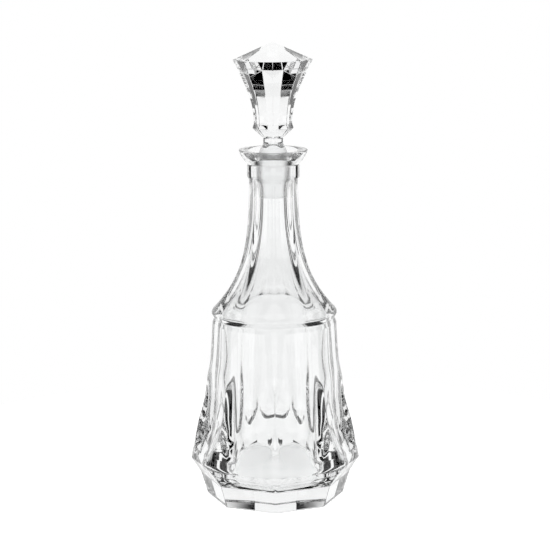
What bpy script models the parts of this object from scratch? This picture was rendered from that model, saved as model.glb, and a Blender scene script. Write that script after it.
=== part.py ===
"""Cut crystal decanter: an eight-sided vessel and its ground-in, faceted stopper.

The vessel is one heavy piece of glass. Its outside is an octagon turned round the axis, with a
ridge at every multiple of 45 degrees, a round collar and pouring lip on top, and a round lens
("olive") ground into each side panel. A narrow flat takes the sharp corner off every ridge. The
inside is smooth and round. The stopper is one solid
piece: an eight-sided head, a narrow waist and a tapered plug that fits the neck's ground socket.

Units are metres, +Z is up, and the origin is the centre of the flat base.
"""
import math

import bpy
from mathutils import Vector, geometry

SIDES = 8                    # panels round the vessel and round the stopper's head
ROUND_STEPS = 48             # facets round a turned surface
RIDGE_STEPS = 32             # flats round the blank; one in four of them blunts a ridge
OLIVE_STEPS = 24             # facets round an olive
OLIVE_RINGS = 6              # rings from an olive's middle to its rim
CURVE_POINTS = 8             # points along one curved stretch of an outline
MERGE = 0.00001              # distance at which doubled points are one

# Heights of the vessel, each from the level before it
FOOT_HEIGHT = 0.0191         # flat base to the top of the foot panels
GIRDLE_RISE = 0.0145         # foot panels to the widest line
FLANK_RISE = 0.1130          # widest line to the top edge of the side panels
GROOVE_HEIGHT = 0.0080       # groove between the side panels and the shoulder
NECK_RISE = 0.1109           # shoulder's nose to the round collar
COLLAR_HEIGHT = 0.0115       # collar to the start of the lip
LIP_HEIGHT = 0.0118          # lip, up to the rim

# Radii of the vessel; an eight-sided level is measured to its blunted ridges
GIRDLE_RADIUS = 0.0698
FOOT_TOP_SHARE = 0.8897      # of the widest radius
FOOT_SHARE = 0.8023          # of the widest radius
FLANK_TOP_RADIUS = 0.0510
GROOVE_RADIUS = 0.0495
SHOULDER_RADIUS = 0.0515
NECK_RADIUS = 0.0197
COLLAR_RADIUS = 0.0212
LIP_RADIUS = 0.0278
FOOT_CHAMFER = 0.0008        # bevel round the flat base
SHOULDER_ROUND = 0.0060      # radius of the rolled shoulder edge
LIP_EDGE = 0.0008            # flat width of the rim

# How far a sharp corner would stand out beyond its blunted ridge
GIRDLE_BLUNT = 0.0027
FLANK_BLUNT = 0.0016
SHOULDER_BLUNT = 0.0022
NECK_BLUNT = 0.0004
FOOT_BLUNT = -0.0002         # under the girdle the corners stay sharp: the blank stands clear

# Bends of the outlines: how steeply a curve leaves its end, in radius per height, and how far
# it keeps to that, as a share of the length of its stretch
FLANK_FLARE = 0.215          # the side panels' flare above the widest line
FLANK_FLARE_HOLD = 0.69
FLANK_TAPER = 0.040          # the side panels' taper at the top
FLANK_TAPER_HOLD = 0.29
SHOULDER_SLOPE = 43.6        # degrees that the shoulder turns in before the neck sweeps up
SHOULDER_HOLD = 1.05
NECK_HOLD = 0.53
LIP_LEAN = 0.0012            # how far the lip's edge leans out over its own bend
LIP_EDGE_HOLD = 0.5
LIP_FLARE = 0.2              # how the lip leaves the collar: as far out as up
HEAD_FLARE = 0.21            # the head's flare under its widest line
HEAD_FLARE_HOLD = 0.42
HEAD_WAIST_RISE = 0.07       # corner to where the head's side starts to bend out
HEAD_WAIST_HOLD = 0.3
PLUG_WAIST_HOLD = 0.3
PLUG_TOP_HOLD = 0.5

# Inside of the vessel
GIRDLE_WALL = 0.0170         # glass beside the cavity at the widest line
FLANK_TOP_WALL = 0.0075      # glass beside the cavity at the top of the side panels
BELLY_HOLD = 0.13            # how far the belly keeps straight up, as a share of the bore's length
BORE_HOLD = 0.65             # how far the bore keeps straight down under the socket
FUNNEL_DIP = 0.0012          # how far the funnel dips as it leaves the rim
FUNNEL_HOLD = 0.5            # how far it keeps to that, as a share of its width
FUNNEL_END = 0.2             # how far it drops straight into the socket, as a share of its depth
FLOOR_THICKNESS = 0.0180
FLOOR_FILLET = 0.0130

# Olives: one lens ground into each side panel
OLIVE_RADIUS = 0.0265        # on the panel's face
OLIVE_DEPTH = 0.0050
OLIVE_RISE = 0.0344          # widest line to the olive's middle

# Stopper; heights are from the rim of the vessel
PLUG_TIP_DEPTH = 0.0388
PLUG_TOP_DEPTH = 0.0048
PLUG_TIP_RADIUS = 0.0092
PLUG_TOP_RADIUS = 0.0116
PLUG_CHAMFER = 0.0005
FIT_CLEARANCE = 0.0003       # between the plug and its socket
WAIST_RADIUS = 0.0081
WAIST_RISE = 0.0057          # rim to the narrowest level
HEAD_FOOT_RISE = 0.0097      # rim to the underside of the head
HEAD_FOOT_RADIUS = 0.0087
HEAD_CHAMFER_HEIGHT = 0.0073
HEAD_CORNER_RADIUS = 0.0166
HEAD_WAIST_RADIUS = 0.0154
HEAD_LENGTH = 0.0549         # chamfer to the head's widest line
HEAD_RADIUS = 0.0320
CROWN_HEIGHT = 0.0143        # widest line of the head to its point

GLASS_COLOUR = (0.95, 0.96, 0.965, 1.0)
GLASS_ROUGHNESS = 0.03
GLASS_IOR = 1.545

FLAT = math.cos(math.pi / SIDES)     # panel's distance from the axis, per corner radius

FOOT_TOP_RADIUS = GIRDLE_RADIUS * FOOT_TOP_SHARE
FOOT_RADIUS = GIRDLE_RADIUS * FOOT_SHARE

GIRDLE_Z = FOOT_HEIGHT + GIRDLE_RISE
FLANK_TOP_Z = GIRDLE_Z + FLANK_RISE
NOSE_Z = FLANK_TOP_Z + GROOVE_HEIGHT
COLLAR_Z = NOSE_Z + NECK_RISE
LIP_Z = COLLAR_Z + COLLAR_HEIGHT
RIM_Z = LIP_Z + LIP_HEIGHT

# (height, how far the corners stand out beyond the ridges), upwards
BLUNTS = ((FOOT_HEIGHT, FOOT_BLUNT), (GIRDLE_Z, GIRDLE_BLUNT),
          (GIRDLE_Z + FLANK_RISE / 2, FLANK_BLUNT), (NOSE_Z, SHOULDER_BLUNT),
          (NOSE_Z + NECK_RISE / 4, NECK_BLUNT))


def clear_scene():
    """Remove whatever the file starts with."""
    for thing in list(bpy.data.objects):
        bpy.data.objects.remove(thing, do_unlink=True)


def new_collection(name):
    """A collection linked to the scene."""
    collection = bpy.data.collections.new(name)
    bpy.context.scene.collection.children.link(collection)
    return collection


def glass_material(name):
    """Clear lead crystal."""
    material = bpy.data.materials.new(name)
    material.use_nodes = True
    shader = material.node_tree.nodes["Principled BSDF"]
    shader.inputs["Base Color"].default_value = GLASS_COLOUR
    shader.inputs["Roughness"].default_value = GLASS_ROUGHNESS
    shader.inputs["Metallic"].default_value = 0.0
    shader.inputs["IOR"].default_value = GLASS_IOR
    shader.inputs["Transmission Weight"].default_value = 1.0
    return material


def sweep(start, start_way, end, end_way, points=CURVE_POINTS):
    """Points of one smooth bend between two (radius, height) ends.

    start_way and end_way lead from each end towards the middle of the bend; their lengths set
    how long the bend keeps to them. The first point is left out, so that runs can be chained.
    """
    knots = [Vector((*start, 0)), Vector((*end, 0))]
    handles = [knots[0] + Vector((*start_way, 0)), knots[1] + Vector((*end_way, 0))]
    curve = geometry.interpolate_bezier(knots[0], handles[0], handles[1], knots[1], points + 1)
    return [(point.x, point.y) for point in curve[1:]]


def arc(centre, radius, start, end, points=CURVE_POINTS):
    """Points of a round corner, from one angle to the other in degrees, ends included."""
    angles = [math.radians(start + (end - start) * step / points) for step in range(points + 1)]
    return [(centre[0] + radius * math.cos(a), centre[1] + radius * math.sin(a)) for a in angles]


def turned(name, outline, steps, collection):
    """A solid of revolution; the outline runs down its outer side, from axis to axis."""
    mesh = bpy.data.meshes.new(name)
    edges = [(step, step + 1) for step in range(len(outline) - 1)]
    mesh.from_pydata([(radius, 0.0, height) for radius, height in outline], edges, [])
    solid = bpy.data.objects.new(name, mesh)
    collection.objects.link(solid)
    screw = solid.modifiers.new("turn", "SCREW")
    screw.axis = "Z"
    screw.steps = steps
    screw.render_steps = steps
    screw.use_merge_vertices = True
    screw.merge_threshold = MERGE
    return solid


def combine(solid, other, operation):
    """Join the other solid to this one, keep what they share, or cut the other out."""
    boolean = solid.modifiers.new(other.name, "BOOLEAN")
    boolean.object = other
    boolean.operation = operation
    boolean.solver = "EXACT"
    other.hide_render = True
    other.display_type = "WIRE"


def finish(solid, material, origin):
    """Apply the modifiers, put the origin on the joint's axis and keep the cut edges crisp."""
    bpy.context.view_layer.update()
    evaluated = solid.evaluated_get(bpy.context.evaluated_depsgraph_get())
    mesh = bpy.data.meshes.new_from_object(evaluated)
    mesh.name = solid.name
    solid.modifiers.clear()
    solid.data = mesh
    for vertex in mesh.vertices:
        vertex.co -= Vector(origin)
    solid.location = origin
    mesh.shade_smooth()
    mesh.set_sharp_from_angle(angle=math.radians(20))
    mesh.materials.clear()
    mesh.materials.append(material)


def flank_outline():
    """Ridge radius of the side panels, from their top edge down to the widest line."""
    hold = FLANK_RISE * FLANK_TAPER_HOLD
    flare = FLANK_RISE * FLANK_FLARE_HOLD
    return sweep((FLANK_TOP_RADIUS, FLANK_TOP_Z), (hold * FLANK_TAPER, -hold),
                 (GIRDLE_RADIUS, GIRDLE_Z), (-flare * FLANK_FLARE, flare))


def neck_outline():
    """Ridge radius from the collar down the trumpet neck and round the shoulder's nose."""
    slope = math.radians(SHOULDER_SLOPE)
    nose_centre = (SHOULDER_RADIUS - SHOULDER_ROUND, NOSE_Z)
    nose = arc(nose_centre, SHOULDER_ROUND, SHOULDER_SLOPE, 0, 3)
    run = (SHOULDER_RADIUS - NECK_RADIUS) * SHOULDER_HOLD
    up = (-run * math.sin(slope), run * math.cos(slope))
    drop = NECK_RISE * NECK_HOLD
    return sweep((NECK_RADIUS, COLLAR_Z), (0, -drop), nose[0], up, 12) + nose[1:]


def ridge_outline():
    """Ridge radius of the eight-sided outside, from the collar down to the top of the foot."""
    outline = [(NECK_RADIUS, COLLAR_Z)] + neck_outline()
    outline += [(GROOVE_RADIUS, FLANK_TOP_Z + GROOVE_HEIGHT / 2), (FLANK_TOP_RADIUS, FLANK_TOP_Z)]
    return outline + flank_outline() + [(FOOT_TOP_RADIUS, FOOT_HEIGHT)]


def blunt(height):
    """How far the corners stand out beyond the ridges at a height."""
    for (low, start), (high, end) in zip(BLUNTS, BLUNTS[1:]):
        if height < high:
            return start + (end - start) * (height - low) / (high - low)
    return BLUNTS[-1][1]


def vessel_outline():
    """Corners of the eight-sided outside, from inside the collar down to the base."""
    corners = [(radius + max(blunt(height), 0), height) for radius, height in ridge_outline()]
    top = COLLAR_Z + COLLAR_HEIGHT / 3
    outline = [(0, top), (corners[0][0], top)] + corners
    outline += [(FOOT_RADIUS + FOOT_CHAMFER / 3, FOOT_CHAMFER)]
    return outline + [(FOOT_RADIUS - FOOT_CHAMFER, 0), (0, 0)]


def blank_outline():
    """Blank of many flats that blunts the ridges, and stands clear of the sharp-edged foot."""
    flats = [(radius - min(blunt(height), 0), height) for radius, height in ridge_outline()]
    corner = 1 / math.cos(math.pi / RIDGE_STEPS)
    outline = [(radius * corner, height) for radius, height in flats]
    top, bottom = outline[0], outline[-1]
    outline = [(0, LIP_Z), (top[0], LIP_Z)] + outline
    return outline + [(bottom[0], -FOOT_CHAMFER), (0, -FOOT_CHAMFER)]


def lip_outline():
    """Round collar and pouring lip, solid; the cavity is cut through it afterwards."""
    step = COLLAR_RADIUS - NECK_RADIUS
    outline = [(0, RIM_Z), (LIP_RADIUS, RIM_Z)]
    flare = LIP_HEIGHT * LIP_FLARE
    outline += sweep((LIP_RADIUS, RIM_Z), (-LIP_LEAN, -LIP_HEIGHT * LIP_EDGE_HOLD),
                     (COLLAR_RADIUS, LIP_Z), (flare, flare), 6)
    outline += [(COLLAR_RADIUS, COLLAR_Z + step), (NECK_RADIUS * FLAT, COLLAR_Z - step)]
    outline += [(0, COLLAR_Z - step)]
    return outline


def socket_radius(depth):
    """Radius of the ground socket at a depth under the rim: the plug's, plus the clearance."""
    share = (PLUG_TIP_DEPTH - depth) / (PLUG_TIP_DEPTH - PLUG_TOP_DEPTH)
    return PLUG_TIP_RADIUS + (PLUG_TOP_RADIUS - PLUG_TIP_RADIUS) * share + FIT_CLEARANCE


def cavity_outline():
    """Inside of the vessel, from above the rim down the funnel, the socket and the belly."""
    rim_radius = LIP_RADIUS - LIP_EDGE
    socket_top = (socket_radius(PLUG_TOP_DEPTH), RIM_Z - PLUG_TOP_DEPTH)
    socket_end = (socket_radius(PLUG_TIP_DEPTH), RIM_Z - PLUG_TIP_DEPTH)
    panel_top = FLAT * (FLANK_TOP_RADIUS + blunt(FLANK_TOP_Z))
    panel_foot = FLAT * (GIRDLE_RADIUS + blunt(GIRDLE_Z))
    belly_top = (panel_top - FLANK_TOP_WALL, FLANK_TOP_Z)
    belly_foot = (panel_foot - GIRDLE_WALL, FLOOR_THICKNESS + FLOOR_FILLET)
    drop = socket_end[1] - belly_top[1]

    outline = [(0, RIM_Z + LIP_HEIGHT), (rim_radius, RIM_Z + LIP_HEIGHT), (rim_radius, RIM_Z)]
    outline += sweep((rim_radius, RIM_Z), (-(rim_radius - socket_top[0]) * FUNNEL_HOLD, -FUNNEL_DIP),
                     socket_top, (0, PLUG_TOP_DEPTH * FUNNEL_END), 6)
    outline += [socket_end]
    outline += sweep(socket_end, (0, -drop * BORE_HOLD), belly_top, (0, drop * BELLY_HOLD), 14)
    outline += arc((belly_foot[0] - FLOOR_FILLET, belly_foot[1]), FLOOR_FILLET, 0, -90, 5)
    outline += [(0, FLOOR_THICKNESS)]
    return outline


def olive_outline():
    """Lens that grinds one olive: its flat back above, its round face below."""
    round_radius = (OLIVE_RADIUS ** 2 + OLIVE_DEPTH ** 2) / (2 * OLIVE_DEPTH)
    centre = round_radius - OLIVE_DEPTH
    reach = math.degrees(math.asin(OLIVE_RADIUS * 1.3 / round_radius))
    face = arc((0, centre), round_radius, reach - 90, -90, OLIVE_RINGS + 2)
    back = face[0][1] + OLIVE_DEPTH
    return [(0, back), (face[0][0], back)] + face[:-1] + [(0, -OLIVE_DEPTH)]


def olive_place():
    """Distance from the axis, height and upward tilt of the panel under an olive's middle."""
    height = GIRDLE_Z + OLIVE_RISE
    corners = [(radius + blunt(level), level) for radius, level in flank_outline()[::-1]]
    upper = next(step for step, point in enumerate(corners) if point[1] > height)
    (low_r, low_z), (high_r, high_z) = corners[upper - 1], corners[upper]
    lean = (high_r - low_r) / (high_z - low_z)
    return FLAT * (low_r + lean * (height - low_z)), height, -lean * FLAT


def add_olives(vessel, cutters):
    """Grind an olive into each side panel."""
    distance, height, tilt = olive_place()
    for side in range(SIDES):
        angle = 2 * math.pi * (side + 0.5) / SIDES
        outward = Vector((math.cos(angle), math.sin(angle), 0))
        lens = turned(f"olive_cutter_{side + 1}", olive_outline(), OLIVE_STEPS, cutters)
        lens.location = outward * distance + Vector((0, 0, height))
        facing = (outward + Vector((0, 0, tilt))).to_track_quat("Z", "Y")
        lens.rotation_euler = facing.to_euler()
        combine(vessel, lens, "DIFFERENCE")


def make_vessel(parts, cutters):
    """The decanter's body: one piece of glass from the base to the rim."""
    vessel = turned("decanter_body", vessel_outline(), SIDES, parts)
    blank = turned("ridge_blank", blank_outline(), RIDGE_STEPS, cutters)
    blank.rotation_euler = (0, 0, math.pi / RIDGE_STEPS)
    combine(vessel, blank, "INTERSECT")
    combine(vessel, turned("lip_blank", lip_outline(), ROUND_STEPS, cutters), "UNION")
    combine(vessel, turned("cavity_cutter", cavity_outline(), ROUND_STEPS, cutters), "DIFFERENCE")
    add_olives(vessel, cutters)
    finish(vessel, glass_material("body_crystal"), (0, 0, 0))


def head_outline():
    """Eight-sided head of the stopper, from its point down to the waist."""
    foot = RIM_Z + HEAD_FOOT_RISE
    corner = foot + HEAD_CHAMFER_HEIGHT
    top = corner + HEAD_LENGTH
    outline = [(0, top + CROWN_HEIGHT), (HEAD_RADIUS, top)]
    side = corner + HEAD_LENGTH * HEAD_WAIST_RISE
    flare = (-HEAD_LENGTH * HEAD_FLARE, -HEAD_LENGTH * HEAD_FLARE_HOLD)
    outline += sweep((HEAD_RADIUS, top), flare,
                     (HEAD_WAIST_RADIUS, side), (0, HEAD_LENGTH * HEAD_WAIST_HOLD))
    outline += [(HEAD_CORNER_RADIUS, corner), (HEAD_FOOT_RADIUS, foot), (0, foot)]
    return outline


def plug_outline():
    """Round waist and tapered plug of the stopper, from inside the head down to the tip."""
    head = RIM_Z + HEAD_FOOT_RISE + HEAD_CHAMFER_HEIGHT / 2
    waist = (WAIST_RADIUS, RIM_Z + WAIST_RISE)
    top = (PLUG_TOP_RADIUS, RIM_Z - PLUG_TOP_DEPTH)
    tip = RIM_Z - PLUG_TIP_DEPTH
    length = waist[1] - top[1]
    outline = [(0, head), (WAIST_RADIUS, head), waist]
    outline += sweep(waist, (0, -length * PLUG_WAIST_HOLD), top, (0, length * PLUG_TOP_HOLD), 5)
    outline += [(PLUG_TIP_RADIUS, tip + PLUG_CHAMFER), (PLUG_TIP_RADIUS - PLUG_CHAMFER, tip)]
    outline += [(0, tip)]
    return outline


def make_stopper(parts, cutters):
    """The stopper: head, waist and ground plug in one piece, lifted straight up to open."""
    stopper = turned("stopper", head_outline(), SIDES, parts)
    combine(stopper, turned("plug_blank", plug_outline(), ROUND_STEPS, cutters), "UNION")
    finish(stopper, glass_material("stopper_crystal"), (0, 0, RIM_Z))


def main():
    """Build the decanter."""
    clear_scene()
    parts = new_collection("cut_crystal_decanter")
    cutters = new_collection("cutters")
    make_vessel(parts, cutters)
    make_stopper(parts, cutters)


main()
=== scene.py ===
# %% [markdown]
# # Cut crystal decanter
# The real object is two pieces of lead crystal: a heavy eight-sided vessel, and a solid faceted
# stopper that is ground into its neck. Clear glass shows hardly any surface of its own. What the
# eye reads is how its cuts bend the studio's white walls and black cards, so this lesson puts its
# work into exact cut surfaces and into the light around them. All lengths are in metres.
#
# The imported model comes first. It fixes where everything is, and how large.

# %% Load the frame
import math

import bpy
import numpy as np
from mathutils import Matrix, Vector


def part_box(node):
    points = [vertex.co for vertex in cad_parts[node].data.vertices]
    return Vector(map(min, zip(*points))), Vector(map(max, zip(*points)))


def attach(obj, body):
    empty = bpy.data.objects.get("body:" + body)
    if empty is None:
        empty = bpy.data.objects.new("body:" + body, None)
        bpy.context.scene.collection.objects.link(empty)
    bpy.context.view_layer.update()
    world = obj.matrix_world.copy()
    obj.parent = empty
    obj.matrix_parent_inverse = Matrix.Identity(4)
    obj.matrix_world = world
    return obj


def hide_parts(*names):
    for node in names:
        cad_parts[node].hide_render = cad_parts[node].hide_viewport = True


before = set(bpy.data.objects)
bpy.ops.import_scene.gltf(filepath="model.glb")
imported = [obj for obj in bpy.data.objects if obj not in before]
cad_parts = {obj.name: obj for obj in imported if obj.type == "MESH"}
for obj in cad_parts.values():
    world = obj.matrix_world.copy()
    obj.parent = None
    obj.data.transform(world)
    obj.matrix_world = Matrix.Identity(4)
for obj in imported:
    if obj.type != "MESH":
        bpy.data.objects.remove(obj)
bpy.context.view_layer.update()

vessel_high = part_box("decanter_body")[1]
stopper_low, stopper_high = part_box("stopper")
RIM_Z = vessel_high.z
GIRDLE_RADIUS = vessel_high.x
APEX_Z = stopper_high.z
HEAD_RADIUS = stopper_high.x
PLUG_TIP_Z = stopper_low.z
print("rim at", round(RIM_Z, 4), "girdle radius", round(GIRDLE_RADIUS, 4))
print("stopper from", round(PLUG_TIP_Z, 4), "to", round(APEX_Z, 4), "radius", round(HEAD_RADIUS, 4))

# %% [markdown]
# ## The camera
# A long lens, set higher than the stopper's point, looks slightly down at the decanter. Such a
# lens keeps the sides nearly parallel. It comes early, because every later choice is judged
# through it.

# %% Camera
SENSOR = 36.0                          # millimetres
LENS = 115.80218                       # millimetres
CAMERA_PLACE = (0.0008, -1.4209, 0.45486)
CAMERA_DIP = 0.187417                  # radians below the horizon
CAMERA_ROLL = -0.0065                  # radians

camera_data = bpy.data.cameras.new("studio_camera")
camera_data.sensor_width = SENSOR
camera_data.lens = LENS
camera = bpy.data.objects.new("studio_camera", camera_data)
bpy.context.scene.collection.objects.link(camera)
camera.location = CAMERA_PLACE
look = Matrix.Rotation(math.pi / 2 - CAMERA_DIP, 3, "X") @ Matrix.Rotation(CAMERA_ROLL, 3, "Z")
camera.rotation_euler = look.to_euler()
bpy.context.scene.camera = camera
print("lens", round(LENS, 1), "mm, dip", round(math.degrees(CAMERA_DIP), 1), "degrees")

# %% [markdown]
# ## Tools for cut glass
# A glass cutter holds the blank against a wheel, and each cut takes away everything outside it.
# So a cut can be written as a function: the radius that it leaves at an azimuth and a height. The
# finished surface is the smallest of those radii. A soft minimum rounds the edge where two cuts
# meet, as polishing does.

# %% Soft minimum and curves
SIDES = 8
STEP = 2 * np.pi / SIDES               # azimuth from one ridge to the next
FLAT = np.cos(STEP / 2)                # a panel's distance from the axis, per ridge radius


def soft_min(a, b, width):
    """The smaller of a and b; where they differ by less than width, a parabola joins them."""
    near = np.clip(width - np.abs(a - b), 0, None)
    return np.minimum(a, b) - near * near / (4 * width)


def bend(start, start_way, end, end_way, count):
    """Cubic curve from start to end, pulled towards start + start_way and towards end + end_way.

    Each (radius, height) point is the blend of four knots with weights (1-t)^3, 3t(1-t)^2,
    3t^2(1-t) and t^3.
    """
    t = np.linspace(0, 1, count)[:, None]
    knots = [np.array(start), np.add(start, start_way), np.add(end, end_way), np.array(end)]
    weights = [(1 - t) ** 3, 3 * t * (1 - t) ** 2, 3 * t * t * (1 - t), t ** 3]
    return sum(weight * knot for weight, knot in zip(weights, knots))


def around(level, reach, count):
    """Heights packed closely on both sides of an edge."""
    return level + np.linspace(-reach, reach, count)


def from_panel(azimuth):
    """Azimuth from the middle of the nearest panel; a ridge lies on every multiple of 45 degrees."""
    return azimuth % STEP - STEP / 2


def panels(azimuth, ridge_radius, softness):
    """Radius left by eight flat panels, their ridges rounded to ridge_radius.

    A flat panel at distance a from the axis lies at a / cos(angle from its middle). The rounding
    takes a quarter of the softness off a ridge, so the panel is set out by as much.
    """
    distance = (ridge_radius + softness / 4) * FLAT
    angle = np.abs(from_panel(azimuth))
    return soft_min(distance / np.cos(angle), distance / np.cos(STEP - angle), softness)


print(SIDES, "sides, a panel lies at", round(float(FLAT), 4), "of the ridge radius")

# %% [markdown]
# ## From a function to a mesh
# Each piece is one closed skin of rows and columns of points. The vessel's rows run from the
# middle of the underside, up the outside, over the rim and down the inside. Its columns stand
# close together at the ridges outside, where the shape turns quickly, and evenly inside, where an
# uneven grid would show as streaks in clear glass. Outside and inside have the same number of
# columns, so that they join point to point.

# %% Columns and the skin
def ridge_columns(per_side, edge_share, edge_half):
    """Azimuths of the columns, packed within edge_half of each ridge and even between."""
    edge_count = int(per_side * edge_share / 2)
    edge = np.linspace(0, edge_half, edge_count, endpoint=False)
    middle = np.linspace(edge_half, STEP - edge_half, per_side - 2 * edge_count + 1)
    one_side = np.concatenate([edge, middle, STEP - edge[:0:-1]])
    return (np.arange(SIDES)[:, None] * STEP + one_side[None]).ravel()


def skin(name, azimuth, radius, height):
    """Closed surface from rows of points, each given by azimuth, radius and height.

    A point is (radius cos azimuth, radius sin azimuth, height). Neighbouring rows are joined by
    quads, and a fan closes each end on the axis, so the first and the last row are round the axis.
    """
    rows, columns = radius.shape
    points = np.stack([radius * np.cos(azimuth), radius * np.sin(azimuth), height], axis=2)
    poles = [[0.0, 0.0, height[0, 0]], [0.0, 0.0, height[-1, 0]]]
    points = np.concatenate([points.reshape(-1, 3), poles])
    here = np.arange(columns)
    after = (here + 1) % columns
    row = (np.arange(rows - 1) * columns)[:, None]
    quads = np.stack([row + here, row + after, row + columns + after, row + columns + here], axis=2)
    first_pole, last_pole = rows * columns, rows * columns + 1
    last = (rows - 1) * columns
    start_fan = np.stack([np.full(columns, first_pole), after, here], axis=1)
    end_fan = np.stack([np.full(columns, last_pole), last + here, last + after], axis=1)
    mesh = bpy.data.meshes.new(name)
    faces = quads.reshape(-1, 4).tolist() + start_fan.tolist() + end_fan.tolist()
    mesh.from_pydata(points.tolist(), [], faces)
    mesh.validate()
    mesh.shade_smooth()
    piece = bpy.data.objects.new(name, mesh)
    bpy.context.scene.collection.objects.link(piece)
    print(name, rows, "rows", columns, "columns,", 2 * rows * columns, "triangles")
    return piece


# %% [markdown]
# ## The outline of the vessel
# Seen from the side, the vessel has a foot that widens to the girdle, tall side panels that
# narrow upwards, a groove, a rolled shoulder and a trumpet neck with a round collar and lip. The
# radius is taken to the ridges, and the shape between them comes from the panels.

# %% Levels and radii of the vessel
FOOT_Z = 0.0191
GIRDLE_Z = 0.0336
FLANK_TOP_Z = 0.1466
NOSE_Z = 0.1546
COLLAR_Z = 0.2655
LIP_Z = 0.2770
FOOT_RADIUS = 0.0560
FOOT_TOP_RADIUS = 0.0621
FLANK_TOP_RADIUS = 0.0510
GROOVE_RADIUS = 0.0495
SHOULDER_RADIUS = 0.0515
NECK_RADIUS = 0.0197
COLLAR_RADIUS = 0.0212
LIP_RADIUS = 0.0278
BASE_BEVEL = 0.0008
SHOULDER_ROUND = 0.0060
SHOULDER_SLOPE = np.radians(43.6)      # how far the nose has turned inwards where the neck starts
GROOVE_Z = (FLANK_TOP_Z + NOSE_Z) / 2
# The pulls of the bends: how far each end holds its direction, as a share of the bend's height or
# width, and how much radius a side panel's ridge loses per height at its two ends.
FLANK_LOW_PULL = 0.69
FLANK_LOW_LEAN = 0.215
FLANK_TOP_PULL = 0.29
FLANK_TOP_LEAN = 0.04
NECK_LOW_PULL = 1.05
NECK_TOP_PULL = 0.53


def ridge_outline():
    """(radius, height) of a ridge, from the base up into the collar.

    Straight up the foot, a long bend up the side panels, an arc round the shoulder's nose and one
    bend up the neck.
    """
    low = FLANK_LOW_PULL * (FLANK_TOP_Z - GIRDLE_Z)
    top = FLANK_TOP_PULL * (FLANK_TOP_Z - GIRDLE_Z)
    side = bend((GIRDLE_RADIUS, GIRDLE_Z), (-FLANK_LOW_LEAN * low, low),
                (FLANK_TOP_RADIUS, FLANK_TOP_Z), (FLANK_TOP_LEAN * top, -top), 80)
    angle = np.linspace(0, SHOULDER_SLOPE, 12)
    nose = np.stack([SHOULDER_RADIUS - SHOULDER_ROUND + SHOULDER_ROUND * np.cos(angle),
                     NOSE_Z + SHOULDER_ROUND * np.sin(angle)], axis=1)
    low = NECK_LOW_PULL * (SHOULDER_RADIUS - NECK_RADIUS)
    top = NECK_TOP_PULL * (COLLAR_Z - NOSE_Z)
    neck = bend(nose[-1], (-low * np.sin(SHOULDER_SLOPE), low * np.cos(SHOULDER_SLOPE)),
                (NECK_RADIUS, COLLAR_Z), (0, -top), 80)
    foot = [(FOOT_RADIUS - BASE_BEVEL, 0), (FOOT_RADIUS + BASE_BEVEL / 3, BASE_BEVEL),
            (FOOT_TOP_RADIUS, FOOT_Z)]
    groove = [(GROOVE_RADIUS, GROOVE_Z)]
    under_collar = [(NECK_RADIUS, COLLAR_Z + 0.003)]
    return np.concatenate([foot, side, groove, nose, neck[1:], under_collar])


OUTLINE = ridge_outline()


def ridge_radius(height):
    """Radius of the ridges at a height, read along the outline."""
    return np.interp(height, OUTLINE[:, 1], OUTLINE[:, 0])


print("widest", round(float(OUTLINE[:, 0].max()), 4), "m")

# %% [markdown]
# ## The cuts of the vessel
# Three kinds of cut follow each other on the blank: the eight panels, one round olive in each
# side panel, and one small flat facet that takes the sharp corner off every ridge between foot
# and girdle. An olive is cut by a round wheel, so it is part of a sphere whose centre lies
# outside the glass. A Boolean could cut it too, but a formula keeps the skin one clean grid.

# %% Cuts
OLIVE_RADIUS = 0.0265
OLIVE_DEPTH = 0.0050
OLIVE_Z = 0.0680
OLIVE_POLISH = 0.0006                  # soft width of the edge where two olives meet
RIM_LEVELS = (0.062, 0.085)            # an olive's rim is crisp below and fades out above
RIM_WIDTHS = (0.0005, 0.0100)
BAND_CORNER = 0.0725                   # ridge radius of the band's panels at the girdle, uncut
BAND_POLISH = 0.0005                   # soft width of the edges below the girdle
# Above the girdle the ridges are polished round: soft widths at levels, read evenly between.
SOFT_LEVELS = (GIRDLE_Z, 0.080, 0.125, NOSE_Z, 0.175, 0.215, COLLAR_Z)
SOFT_WIDTHS = (0.0108, 0.0070, 0.0060, 0.0090, 0.0030, 0.0020, 0.0014)
OLIVE_SPHERE = (OLIVE_RADIUS ** 2 + OLIVE_DEPTH ** 2) / (2 * OLIVE_DEPTH)
NO_CUT = 1.0                           # a radius far outside the glass


def olives(azimuth, height):
    """Radius left by the round wheel, one hollow in each side panel.

    The wheel is pushed in square to the leaning panel. On the ray at angle d from a panel's
    middle, a sphere of radius s centred at distance c and height h is first met at
    c cos d - sqrt(s^2 - (z - h)^2 - (c sin d)^2).
    """
    panel = FLAT * (ridge_radius(OLIVE_Z) + np.interp(OLIVE_Z, SOFT_LEVELS, SOFT_WIDTHS) / 4)
    tip = OLIVE_RADIUS / 2
    lean = FLAT * (ridge_radius(OLIVE_Z + tip) - ridge_radius(OLIVE_Z - tip)) / (2 * tip)
    out, up = np.array([1, -lean]) / np.hypot(1, lean) * (OLIVE_SPHERE - OLIVE_DEPTH)
    centre, centre_z = panel + out, OLIVE_Z + up
    left = np.full_like(azimuth, NO_CUT)
    for angle in (from_panel(azimuth), STEP - np.abs(from_panel(azimuth))):
        under = OLIVE_SPHERE ** 2 - (height - centre_z) ** 2 - (centre * np.sin(angle)) ** 2
        met = centre * np.cos(angle) - np.sqrt(np.maximum(under, 0))
        left = soft_min(left, np.where(under > 0, met, NO_CUT), OLIVE_POLISH)
    return left


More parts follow.
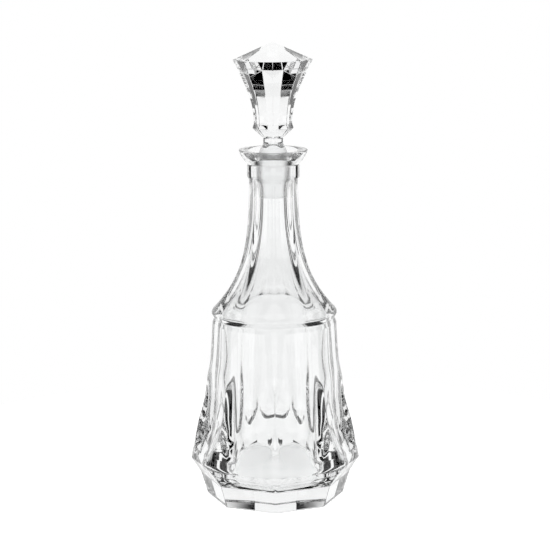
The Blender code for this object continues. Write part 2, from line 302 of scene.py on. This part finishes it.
def band(azimuth, height):
    """Radius left between foot and girdle: eight panels and a flat facet on each ridge.

    The panels lean out to sharp corners, and each facet is a plane that starts at a corner of
    the foot and leans out less, so that it widens upwards into a triangle.
    """
    share = (height - FOOT_Z) / (GIRDLE_Z - FOOT_Z)
    corner = FOOT_TOP_RADIUS + (BAND_CORNER - FOOT_TOP_RADIUS) * share
    facet = FOOT_TOP_RADIUS + (GIRDLE_RADIUS - FOOT_TOP_RADIUS) * share
    from_ridge = (azimuth + STEP / 2) % STEP - STEP / 2
    return soft_min(panels(azimuth, corner, BAND_POLISH), facet / np.cos(from_ridge), BAND_POLISH)


def vessel_radius(azimuth, height):
    """Outside of the vessel: the foot, the band, and above them panels with olives."""
    foot = panels(azimuth, ridge_radius(height), BAND_POLISH)
    softness = np.interp(height, SOFT_LEVELS, SOFT_WIDTHS)
    above = panels(azimuth, ridge_radius(height), softness)
    above = soft_min(above, olives(azimuth, height), np.interp(height, RIM_LEVELS, RIM_WIDTHS))
    lower = np.where(height < FOOT_Z, foot, band(azimuth, height))
    return np.where(height < GIRDLE_Z, lower, above)


print("olives from a wheel of radius", round(OLIVE_SPHERE, 4), "m")

# %% [markdown]
# ## The inside of the vessel
# The blank was blown, so its inside is round and smooth: a thick floor, a round belly, and a neck
# that closes to the ground socket of the plug. A funnel opens it to the lip. One outline carried
# round the axis gives all of it. The socket follows the plug at one clearance, so they fit.

# %% Inside outline
FLOOR_Z = 0.0180
FLOOR_FILLET = 0.0130
BELLY_FOOT_RADIUS = 0.0500
BELLY_TOP_RADIUS = 0.0415
FIT_CLEARANCE = 0.0003
PLUG_TIP_RADIUS = 0.0092
PLUG_TOP_RADIUS = 0.0116
PLUG_TOP_Z = RIM_Z - 0.0048
LIP_EDGE = 0.0008                      # width of the lip's flat top
NECK_INSIDE_PULL = 0.65                # the bend in the neck's inside, as shares of its height
BELLY_INSIDE_PULL = 0.13
FLOOR_HOLE = 0.002                     # the fan on the axis closes what is left


def inside_outline():
    """(radius, height) from the rim down the funnel, socket, neck and belly to the floor."""
    rim = (LIP_RADIUS - LIP_EDGE, RIM_Z)
    socket_top = (PLUG_TOP_RADIUS + FIT_CLEARANCE, PLUG_TOP_Z)
    socket_end = (PLUG_TIP_RADIUS + FIT_CLEARANCE, PLUG_TIP_Z)
    belly_top = (BELLY_TOP_RADIUS, FLANK_TOP_Z)
    belly_foot = (BELLY_FOOT_RADIUS, FLOOR_Z + FLOOR_FILLET)
    drop = PLUG_TIP_Z - FLANK_TOP_Z
    funnel = bend(rim, (-0.0085, -0.0012), socket_top, (0, 0.001), 18)
    socket = np.linspace(socket_top, socket_end, 10)
    neck = bend(socket_end, (0, -NECK_INSIDE_PULL * drop),
                belly_top, (0, BELLY_INSIDE_PULL * drop), 44)
    belly = np.linspace(belly_top, belly_foot, 26)
    angle = np.linspace(0, -np.pi / 2, 18)
    fillet = np.stack([belly_foot[0] + FLOOR_FILLET * (np.cos(angle) - 1),
                       belly_foot[1] + FLOOR_FILLET * np.sin(angle)], axis=1)
    floor = np.linspace((belly_foot[0] - FLOOR_FILLET, FLOOR_Z), (FLOOR_HOLE, FLOOR_Z), 8)
    return np.concatenate([funnel, socket[1:], neck[1:], belly[1:], fillet[1:], floor[1:]])


print("floor", FLOOR_Z, "m thick, wall", round(FLANK_TOP_RADIUS * FLAT - BELLY_TOP_RADIUS, 4), "m")

# %% [markdown]
# ## Collar and lip
# The hot rim was turned on a rod, which makes it round: a short collar over the panels, and a lip
# that flares to a thin edge. It is an outline like the inside, and joins the two skins.

# %% Collar and lip outline
def lip_outline():
    """(radius, height) up the round collar and out to the lip's edge."""
    step = COLLAR_RADIUS - NECK_RADIUS
    collar = [(NECK_RADIUS * 1.01, COLLAR_Z - 0.0004), (NECK_RADIUS + 0.45 * step, COLLAR_Z + 0.0002),
              (COLLAR_RADIUS - 0.0002, COLLAR_Z + 0.0009), (COLLAR_RADIUS, COLLAR_Z + 0.0016),
              (COLLAR_RADIUS, LIP_Z - 0.0008)]
    lip = bend((COLLAR_RADIUS, LIP_Z), (0.0024, 0.0024),
               (LIP_RADIUS, RIM_Z - 0.0004), (-0.0012, -0.0055), 16)
    return np.concatenate([collar, lip, [(LIP_RADIUS - 0.0001, RIM_Z - 0.0001)]])


# %% [markdown]
# ## The vessel's skin
# Outside, lip and inside are stacked into one grid. Its rows crowd at the edges and in the
# olives, where the shape turns, and are sparse on the plain stretches.

# %% The vessel's skin
COLUMNS_PER_SIDE = 40
EDGE_SHARE = 0.2                       # share of the columns that crowd at the ridges
EDGE_HALF = 0.02                       # radians on each side of a ridge
UNDERSIDE_SHARES = np.array([0.3, 0.6, 0.9, 0.985])[:, None]     # rings under the foot
PLAIN_ROWS = (                         # from, to, number of rows
    (0, BASE_BEVEL, 3), (0.0015, 0.0176, 8), (0.0205, 0.0326, 14), (0.0348, 0.098, 66),
    (0.1, 0.1445, 14), (0.157, 0.162, 5), (0.164, COLLAR_Z - 0.003, 26))
EDGE_ROWS = (                          # level, reach up and down, number of rows
    (FOOT_Z, 0.0009, 5), (GIRDLE_Z, 0.0006, 5), (FLANK_TOP_Z, 0.0012, 7), (GROOVE_Z, 0.0012, 5),
    (NOSE_Z, 0.0012, 5))


def rows_at(plain, edges):
    """Heights of a skin's rows, from a table of plain stretches and a table of edges."""
    spans = [np.linspace(*stretch) for stretch in plain] + [around(*edge) for edge in edges]
    return np.unique(np.concatenate(spans))


def vessel_skin():
    """Outside, lip and inside as one grid; round the lip the columns slide from packed to even."""
    packed = ridge_columns(COLUMNS_PER_SIDE, EDGE_SHARE, EDGE_HALF)
    even = np.linspace(0, 2 * np.pi, len(packed), endpoint=False)
    azimuth, height = np.meshgrid(packed, rows_at(PLAIN_ROWS, EDGE_ROWS))
    radius = vessel_radius(azimuth, height)
    underside = UNDERSIDE_SHARES * radius[:1]
    lip, inside = lip_outline(), inside_outline()
    turned = np.concatenate([lip, inside])
    slide = np.clip(np.arange(len(turned)) / len(lip), 0, 1)[:, None]
    turned_azimuth = packed * (1 - slide) + even * slide
    turned_radius = np.repeat(turned[:, :1], len(packed), axis=1)
    turned_height = np.repeat(turned[:, 1:], len(packed), axis=1)
    under_azimuth = np.repeat(packed[None], len(underside), axis=0)
    azimuth = np.concatenate([under_azimuth, azimuth, turned_azimuth])
    radius = np.concatenate([underside, radius, turned_radius])
    height = np.concatenate([np.zeros_like(underside), height, turned_height])
    return skin("crystal_vessel", azimuth, radius, height)


vessel = vessel_skin()

# %% [markdown]
# ## The stopper
# One solid piece. The head is an eight-sided vase with a low eight-sided point, a bevelled foot
# and a narrow round waist. Below it, the plug tapers to fit the socket. The same panels cut the
# head as the vessel, so the ridges of both face the same way.

# %% Stopper
HEAD_FOOT_Z = RIM_Z + 0.0097
HEAD_CORNER_Z = HEAD_FOOT_Z + 0.0073
HEAD_TOP_Z = HEAD_CORNER_Z + 0.0549
HEAD_CORNER_RADIUS = 0.0166
HEAD_WAIST_RADIUS = 0.0154
HEAD_FOOT_RADIUS = 0.0087
WAIST_RADIUS = 0.0081
WAIST_Z = RIM_Z + 0.0057
HEAD_POLISH = 0.0005                   # soft width of the head's ridges
HEAD_COLUMNS_PER_SIDE = 32
HEAD_EDGE_SHARE = 0.25
HEAD_EDGE_HALF = 0.03                  # radians on each side of a ridge
HEAD_PLAIN_ROWS = (                    # from, to, number of rows
    (HEAD_FOOT_Z + 0.0004, HEAD_CORNER_Z - 0.0008, 6),
    (HEAD_CORNER_Z + 0.0012, HEAD_TOP_Z - 0.0008, 70),
    (HEAD_TOP_Z + 0.0012, APEX_Z - 0.0002, 10))
HEAD_EDGE_ROWS = ((HEAD_CORNER_Z, 0.0006, 5), (HEAD_TOP_Z, 0.0006, 5))


def head_outline():
    """(ridge radius, height) of the head, from its foot to its point."""
    length = HEAD_TOP_Z - HEAD_CORNER_Z
    side = bend((HEAD_WAIST_RADIUS, HEAD_CORNER_Z + 0.0038), (0, 0.3 * length),
                (HEAD_RADIUS, HEAD_TOP_Z), (-0.21 * length, -0.42 * length), 60)
    foot = [(HEAD_FOOT_RADIUS, HEAD_FOOT_Z), (HEAD_CORNER_RADIUS, HEAD_CORNER_Z)]
    return np.concatenate([foot, side, [(0.0, APEX_Z)]])


def plug_outline():
    """(radius, height) of the round plug and waist, from the tip up."""
    length = WAIST_Z - PLUG_TOP_Z
    tip_edge = (PLUG_TIP_RADIUS, PLUG_TIP_Z + 0.0005)
    tip = [(0.003, PLUG_TIP_Z), (0.006, PLUG_TIP_Z), (PLUG_TIP_RADIUS - 0.0007, PLUG_TIP_Z),
           (PLUG_TIP_RADIUS - 0.0002, PLUG_TIP_Z + 0.0001), tip_edge]
    taper = np.linspace(tip_edge, (PLUG_TOP_RADIUS, PLUG_TOP_Z), 12)
    waist = bend((PLUG_TOP_RADIUS, PLUG_TOP_Z), (0, 0.5 * length),
                 (WAIST_RADIUS, WAIST_Z), (0, -0.3 * length), 18)
    neck = [(WAIST_RADIUS, WAIST_Z + 0.002), (WAIST_RADIUS + 0.0001, HEAD_FOOT_Z - 0.0006),
            (HEAD_FOOT_RADIUS - 0.0002, HEAD_FOOT_Z)]
    return np.concatenate([tip, taper[1:], waist[1:], neck])


def stopper_skin():
    """Round plug and waist, then the eight-sided head, closed at the tip and the point."""
    columns = ridge_columns(HEAD_COLUMNS_PER_SIDE, HEAD_EDGE_SHARE, HEAD_EDGE_HALF)
    plug, head = plug_outline(), head_outline()
    azimuth, height = np.meshgrid(columns, rows_at(HEAD_PLAIN_ROWS, HEAD_EDGE_ROWS))
    ridge = np.interp(height, head[:, 1], head[:, 0])
    radius = panels(azimuth, ridge, np.minimum(HEAD_POLISH, ridge * 0.2))
    radius = np.concatenate([np.repeat(plug[:, :1], len(columns), axis=1), radius])
    height = np.concatenate([np.repeat(plug[:, 1:], len(columns), axis=1), height])
    azimuth = np.repeat(columns[None], len(radius), axis=0)
    return skin("crystal_stopper", azimuth, radius, height)


stopper = stopper_skin()

# %% [markdown]
# ## Shader sums as plain expressions
# A procedural finish is arithmetic on sockets. One small class wraps a socket and adds a Math
# node for each operator, so a mask reads like the sum that it is.

# %% Socket arithmetic
class Value:
    """A socket in a node tree; on numbers, +, - and * add Math nodes."""

    def __init__(self, tree, socket):
        self.tree = tree
        self.socket = socket

    def node(self, kind, settings=(), inputs=(), output=0):
        """Any node: its settings first, then its socket values or links; gives one output."""
        made = self.tree.nodes.new(kind)
        for key, setting in dict(settings).items():
            setattr(made, key, setting)
        for key, value in dict(inputs).items():
            if isinstance(value, Value):
                self.tree.links.new(value.socket, made.inputs[key])
            else:
                made.inputs[key].default_value = value
        return Value(self.tree, made.outputs[output])

    def math(self, operation, other=0.0, flipped=False):
        """One Math node on this value and another."""
        pair = (other, self) if flipped else (self, other)
        return self.node("ShaderNodeMath", {"operation": operation}, enumerate(pair))

    def __add__(self, other):
        return self.math("ADD", other)

    def __radd__(self, other):
        return self.math("ADD", other, flipped=True)

    def __sub__(self, other):
        return self.math("SUBTRACT", other)

    def __rsub__(self, other):
        return self.math("SUBTRACT", other, flipped=True)

    def __mul__(self, other):
        return self.math("MULTIPLY", other)

    def __rmul__(self, other):
        return self.math("MULTIPLY", other, flipped=True)

    def ramp(self, low, high, start=0.0, end=1.0):
        """Goes smoothly from start to end while this value goes from low to high."""
        settings = {"clamp": True, "interpolation_type": "SMOOTHSTEP"}
        inputs = {"Value": self, "From Min": low, "From Max": high, "To Min": start, "To Max": end}
        return self.node("ShaderNodeMapRange", settings, inputs)


def start_of(tree, kind, output):
    """A first value: one output of a new input node."""
    return Value(tree, tree.nodes.new(kind).outputs[output])


# %% [markdown]
# ## Crystal
# Lead crystal bends light more than window glass, which is why its cuts flash: its index is 1.545.
# Hand polishing leaves a faint ripple a few millimetres long, a bump here. Where the plug meets
# the neck, the glass is ground matt, so the light that passes is scattered: that is roughness,
# with a fine grain, between the two ends of the ground joint. One material with a mask does this
# better than two, because the ground zone can end anywhere between two rows of the mesh.

# %% Crystal finish
CRYSTAL_IOR = 1.545
CRYSTAL_COLOUR = (0.985, 0.99, 0.99, 1.0)
RIPPLES_PER_METRE = 160.0
RIPPLE_DEPTH = 0.000004
GRAINS_PER_METRE = 2600.0
GROUND_RADIUS = 0.0125                 # inside this radius the glass is ground
GROUND_EDGE = 0.0002                   # half the width of the ground zone's edge
SOCKET_ROUGHNESS = 0.30
PLUG_ROUGHNESS = 0.32
BELOW_ALL = -1.0                       # a height under the whole piece


def crystal(name, ground_low, ground_high, ground_roughness):
    """Clear polished crystal, ground matt between two heights inside GROUND_RADIUS."""
    material = bpy.data.materials.new(name)
    material.use_nodes = True
    tree = material.node_tree
    shader = tree.nodes["Principled BSDF"]
    shader.inputs["Base Color"].default_value = CRYSTAL_COLOUR
    shader.inputs["IOR"].default_value = CRYSTAL_IOR
    shader.inputs["Transmission Weight"].default_value = 1.0
    place = start_of(tree, "ShaderNodeTexCoord", "Object")
    height = place.node("ShaderNodeSeparateXYZ", inputs={"Vector": place}, output="Z")
    flat_place = place.node("ShaderNodeVectorMath", {"operation": "MULTIPLY"},
                            {0: place, 1: (1.0, 1.0, 0.0)})
    radius = place.node("ShaderNodeVectorMath", {"operation": "LENGTH"}, {0: flat_place}, "Value")
    ground = height.ramp(ground_low - GROUND_EDGE, ground_low + GROUND_EDGE)
    ground = ground * height.ramp(ground_high - GROUND_EDGE, ground_high + GROUND_EDGE, 1.0, 0.0)
    ground = ground * radius.ramp(GROUND_RADIUS - GROUND_EDGE, GROUND_RADIUS + GROUND_EDGE, 1.0, 0.0)
    grain = place.node("ShaderNodeTexNoise",
                       inputs={"Vector": place, "Scale": GRAINS_PER_METRE, "Detail": 1.0})
    rough = ground * (ground_roughness * (0.8 + 0.4 * grain))
    tree.links.new(rough.socket, shader.inputs["Roughness"])
    ripple = place.node("ShaderNodeTexNoise",
                        inputs={"Vector": place, "Scale": RIPPLES_PER_METRE, "Detail": 0.0})
    polish = place.node("ShaderNodeBump", output="Normal",
                        inputs={"Height": ripple, "Strength": 1.0, "Distance": RIPPLE_DEPTH})
    tree.links.new(polish.socket, shader.inputs["Normal"])
    return material


body_crystal = crystal("body_crystal", PLUG_TIP_Z, PLUG_TOP_Z, SOCKET_ROUGHNESS)
stopper_crystal = crystal("stopper_crystal", BELOW_ALL, PLUG_TOP_Z, PLUG_ROUGHNESS)
vessel.data.materials.append(body_crystal)
stopper.data.materials.append(stopper_crystal)
print("ground from", round(PLUG_TIP_Z, 4), "to", round(PLUG_TOP_Z, 4), "m")

# %% [markdown]
# ## Bodies
# The vessel stands still and the stopper lifts straight out. Each skin takes the place of one
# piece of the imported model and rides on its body, so it moves as that piece does.

# %% Put the pieces on their bodies
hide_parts("decanter_body")
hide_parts("stopper")
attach(vessel, "vessel")
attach(stopper, "stopper")

# %% [markdown]
# ## Light
# Clear glass is lit in a bright field: white all behind it, and black cards around it, out of
# view, that the cuts pick up as dark lines. The same can be done with the world: it is white,
# apart from dark cards at chosen directions, and a ray that comes straight from the camera always
# sees white. Two upright cards stand on each side. By the camera there is a low one and one on
# each side. The last two are long, above and below, and leave open what lies behind the decanter.

# %% Studio walls and cards
# Each card: from and to, in degrees left and right of straight on, then its lower and upper edge
# as elevations in degrees.
CARDS = (
    (50, 66, -60, 60),
    (74, 86, -30, 60),
    (142, 181, -34, -19),
    (142, 168, -12, 14),
    (36, 181, 15, 60),
    (30, 181, -92, -38),
)
CARD_SOFT = 2.0                        # degrees over which a card's edge fades

world = bpy.data.worlds.new("white_studio")
bpy.context.scene.world = world
world.use_nodes = True
tree = world.node_tree
ray = start_of(tree, "ShaderNodeTexCoord", "Generated")
ray_x, ray_y, ray_z = (ray.node("ShaderNodeSeparateXYZ", inputs={"Vector": ray}, output=axis)
                       for axis in range(3))
side = ray_x.math("ARCTAN2", ray_y).math("ABSOLUTE") * math.degrees(1)
lift = ray_z.math("ARCSINE") * math.degrees(1)


def within(angle, low, high):
    """1 where an angle lies between two others, with a soft edge."""
    return angle.ramp(low - CARD_SOFT, low) * angle.ramp(high, high + CARD_SOFT, 1.0, 0.0)


light = 1.0
for near, far, bottom, top in CARDS:
    light = light * (1.0 - within(side, near, far) * within(lift, bottom, top))
straight = start_of(tree, "ShaderNodeLightPath", "Is Camera Ray")
brightness = light.math("MAXIMUM", straight)
grey = ray.node("ShaderNodeCombineColor", inputs={axis: brightness for axis in range(3)})
tree.links.new(grey.socket, tree.nodes["Background"].inputs["Color"])
print(len(CARDS), "cards")

# %% [markdown]
# ## Floor
# The decanter stands on a pale table that is nearly as white as the wall behind it, and under its
# foot lies a bright pad, smaller than the foot. The pad lights the thick base from below, and
# leaves the edge of the foot to the dark cards. The table is hidden from rays that are bent or
# mirrored by the glass: a large white sheet under clear glass would wash its edges out.

# %% Table and pad
TABLE_RADIUS = 0.40
PAD_RADIUS = 0.042
PAD_GAP = 0.0003
TABLE_GAP = 0.0008
TABLE_GLOW = 0.8
PAD_GLOW = 0.45
PAPER_WHITE = (0.95, 0.95, 0.95, 1.0)
PAPER_ROUGHNESS = 0.9
DISC_POINTS = 96


def disc(name, radius, height, glow):
    """A flat shining disc: a ring of points at (radius cos t, radius sin t, height), filled."""
    turn = np.linspace(0, 2 * np.pi, DISC_POINTS, endpoint=False)
    level = np.full(DISC_POINTS, height)
    ring = np.stack([radius * np.cos(turn), radius * np.sin(turn), level], axis=1)
    mesh = bpy.data.meshes.new(name)
    mesh.from_pydata(ring.tolist(), [], [list(range(DISC_POINTS))])
    piece = bpy.data.objects.new(name, mesh)
    bpy.context.scene.collection.objects.link(piece)
    finish = bpy.data.materials.new(name)
    finish.use_nodes = True
    shader = finish.node_tree.nodes["Principled BSDF"]
    shader.inputs["Base Color"].default_value = PAPER_WHITE
    shader.inputs["Roughness"].default_value = PAPER_ROUGHNESS
    shader.inputs["Specular IOR Level"].default_value = 0.0
    shader.inputs["Emission Color"].default_value = (1.0, 1.0, 1.0, 1.0)
    shader.inputs["Emission Strength"].default_value = glow
    mesh.materials.append(finish)
    return piece


disc("light_pad", PAD_RADIUS, -PAD_GAP, PAD_GLOW)
table = disc("pale_table", TABLE_RADIUS, -TABLE_GAP, TABLE_GLOW)
table.visible_transmission = False
table.visible_glossy = False
print("table", TABLE_RADIUS, "m, pad", PAD_RADIUS, "m")

# %% [markdown]
# ## Long light paths
# A ray that enters cut glass is thrown back and forth between its facets many times before it
# leaves. If it were given up early, facets would turn black, so the number of bounces is raised.
# The plain view transform keeps the white field white.

# %% Light paths
cycles = bpy.context.scene.cycles
cycles.max_bounces = 40
cycles.transmission_bounces = 40
cycles.glossy_bounces = 16
cycles.caustics_reflective = True
cycles.caustics_refractive = True
cycles.sample_clamp_indirect = 0
cycles.blur_glossy = 0.0
cycles.use_denoising = True
bpy.context.scene.view_settings.view_transform = "Standard"
print("up to", cycles.max_bounces, "bounces")
